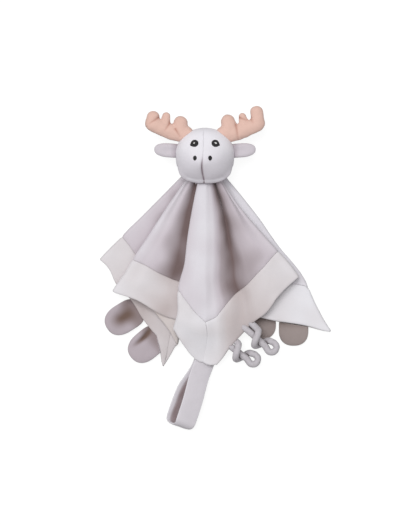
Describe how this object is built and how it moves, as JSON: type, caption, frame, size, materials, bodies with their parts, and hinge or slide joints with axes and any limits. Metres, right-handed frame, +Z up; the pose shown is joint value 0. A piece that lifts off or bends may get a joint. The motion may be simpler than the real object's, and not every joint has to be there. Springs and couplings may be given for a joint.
{
  "type": "comfort blanket",
  "caption": "Square two-layer plush blanket gathered into a small stuffed moose head, with padded tabs, knotted cords and a strap loop at its corners.",
  "frame": {"origin": "under the middle of the whole part, on the surface that it lies on", "axes": "+Z up, toward the face; +Y from the strap loop toward the antlers; +X to the right as seen from above"},
  "size_m": [0.2902, 0.4038, 0.0692],
  "materials": {
    "panel_velour": "short soft velour, matt with a pale edge sheen",
    "lining_velour": "short soft velour",
    "border_velour": "short soft velour",
    "head_velour": "short soft velour stretched over filling",
    "fibre_filling": "loose fibre",
    "antler_velour": "short soft velour",
    "ear_velour": "short soft velour",
    "strap_velour": "short soft velour",
    "tab_fabric": "smooth brushed fabric",
    "rib_fabric": "fine ribbed fabric",
    "cord_velour": "short soft velour",
    "black_thread": "satin embroidery thread",
    "white_thread": "satin embroidery thread"
  },
  "bodies": {
    "blanket": {"centre_panel": "panel_velour", "lining": "lining_velour", "border_front_right": "border_velour", "border_back_right": "border_velour", "border_back_left": "border_velour", "border_front_left": "border_velour"},
    "head": {"head_cover_left": "head_velour", "head_cover_right": "head_velour", "head_filling": "fibre_filling", "eye_left": "black_thread", "eye_right": "black_thread", "eye_glint_left": "white_thread", "eye_glint_right": "white_thread", "nostril_left": "black_thread", "nostril_right": "black_thread"},
    "antler_left": {"antler_left": "antler_velour"},
    "antler_right": {"antler_right": "antler_velour"},
    "ear_left": {"ear_left": "ear_velour"},
    "ear_right": {"ear_right": "ear_velour"},
    "strap": {"strap_loop": "strap_velour"},
    "tab_left_outer": {"tab_left_outer": "tab_fabric"},
    "tab_left_inner": {"tab_left_inner": "tab_fabric"},
    "tab_right_inner": {"tab_right_inner": "rib_fabric"},
    "tab_right_outer": {"tab_right_outer": "rib_fabric"},
    "cord_upper": {"knotted_cord_upper": "cord_velour"},
    "cord_lower": {"knotted_cord_lower": "cord_velour"}
  },
  "joints": [
    {"name": "neck_nod", "type": "hinge", "parent": "blanket", "child": "head", "pos_m": [-0.0121, 0.1051, 0.033], "axis": [1, 0, 0], "range_deg": [-30, 45]},
    {"name": "antler_left_bend", "type": "hinge", "parent": "head", "child": "antler_left", "pos_m": [-0.0391, 0.1648, 0.031], "axis": [0.5, 0.866, 0], "range_deg": [-30, 30], "stiffness_Nm_per_rad": 0.05},
    {"name": "antler_right_bend", "type": "hinge", "parent": "head", "child": "antler_right", "pos_m": [0.0149, 0.1648, 0.031], "axis": [0.5, -0.866, 0], "range_deg": [-30, 30], "stiffness_Nm_per_rad": 0.05},
    {"name": "ear_left_bend", "type": "hinge", "parent": "head", "child": "ear_left", "pos_m": [-0.0476, 0.146, 0.03], "axis": [0, 1, 0], "range_deg": [-40, 40], "stiffness_Nm_per_rad": 0.02},
    {"name": "ear_right_bend", "type": "hinge", "parent": "head", "child": "ear_right", "pos_m": [0.0234, 0.146, 0.03], "axis": [0, -1, 0], "range_deg": [-40, 40], "stiffness_Nm_per_rad": 0.02},
    {"name": "strap_swing", "type": "hinge", "parent": "blanket", "child": "strap", "pos_m": [-0.0121, -0.1222, 0.014], "axis": [-0.9455, 0.3256, 0], "range_deg": [-40, 85]},
    {"name": "tab_left_outer_fold", "type": "hinge", "parent": "blanket", "child": "tab_left_outer", "pos_m": [-0.0991, -0.0542, 0.00615], "axis": [-0.5299, 0.848, 0], "range_deg": [-60, 60]},
    {"name": "tab_left_inner_fold", "type": "hinge", "parent": "blanket", "child": "tab_left_inner", "pos_m": [-0.0721, -0.0862, 0.00615], "axis": [-0.6428, 0.766, 0], "range_deg": [-60, 60]},
    {"name": "tab_right_inner_fold", "type": "hinge", "parent": "blanket", "child": "tab_right_inner", "pos_m": [0.0579, -0.0582, 0.00355], "axis": [-0.9994, -0.0349, 0], "range_deg": [-60, 0]},
    {"name": "tab_right_outer_fold", "type": "hinge", "parent": "blanket", "child": "tab_right_outer", "pos_m": [0.0989, -0.0662, 0.00615], "axis": [-1, 0, 0], "range_deg": [-60, 60]},
    {"name": "cord_upper_swing", "type": "hinge", "parent": "blanket", "child": "cord_upper", "pos_m": [0.0332, -0.0713, 0.015], "axis": [-0.7547, -0.6561, 0], "range_deg": [0, 75]},
    {"name": "cord_lower_swing", "type": "hinge", "parent": "blanket", "child": "cord_lower", "pos_m": [0.0136, -0.0951, 0.0165], "axis": [-0.682, -0.7314, 0], "range_deg": [-45, 75]}
  ]
}
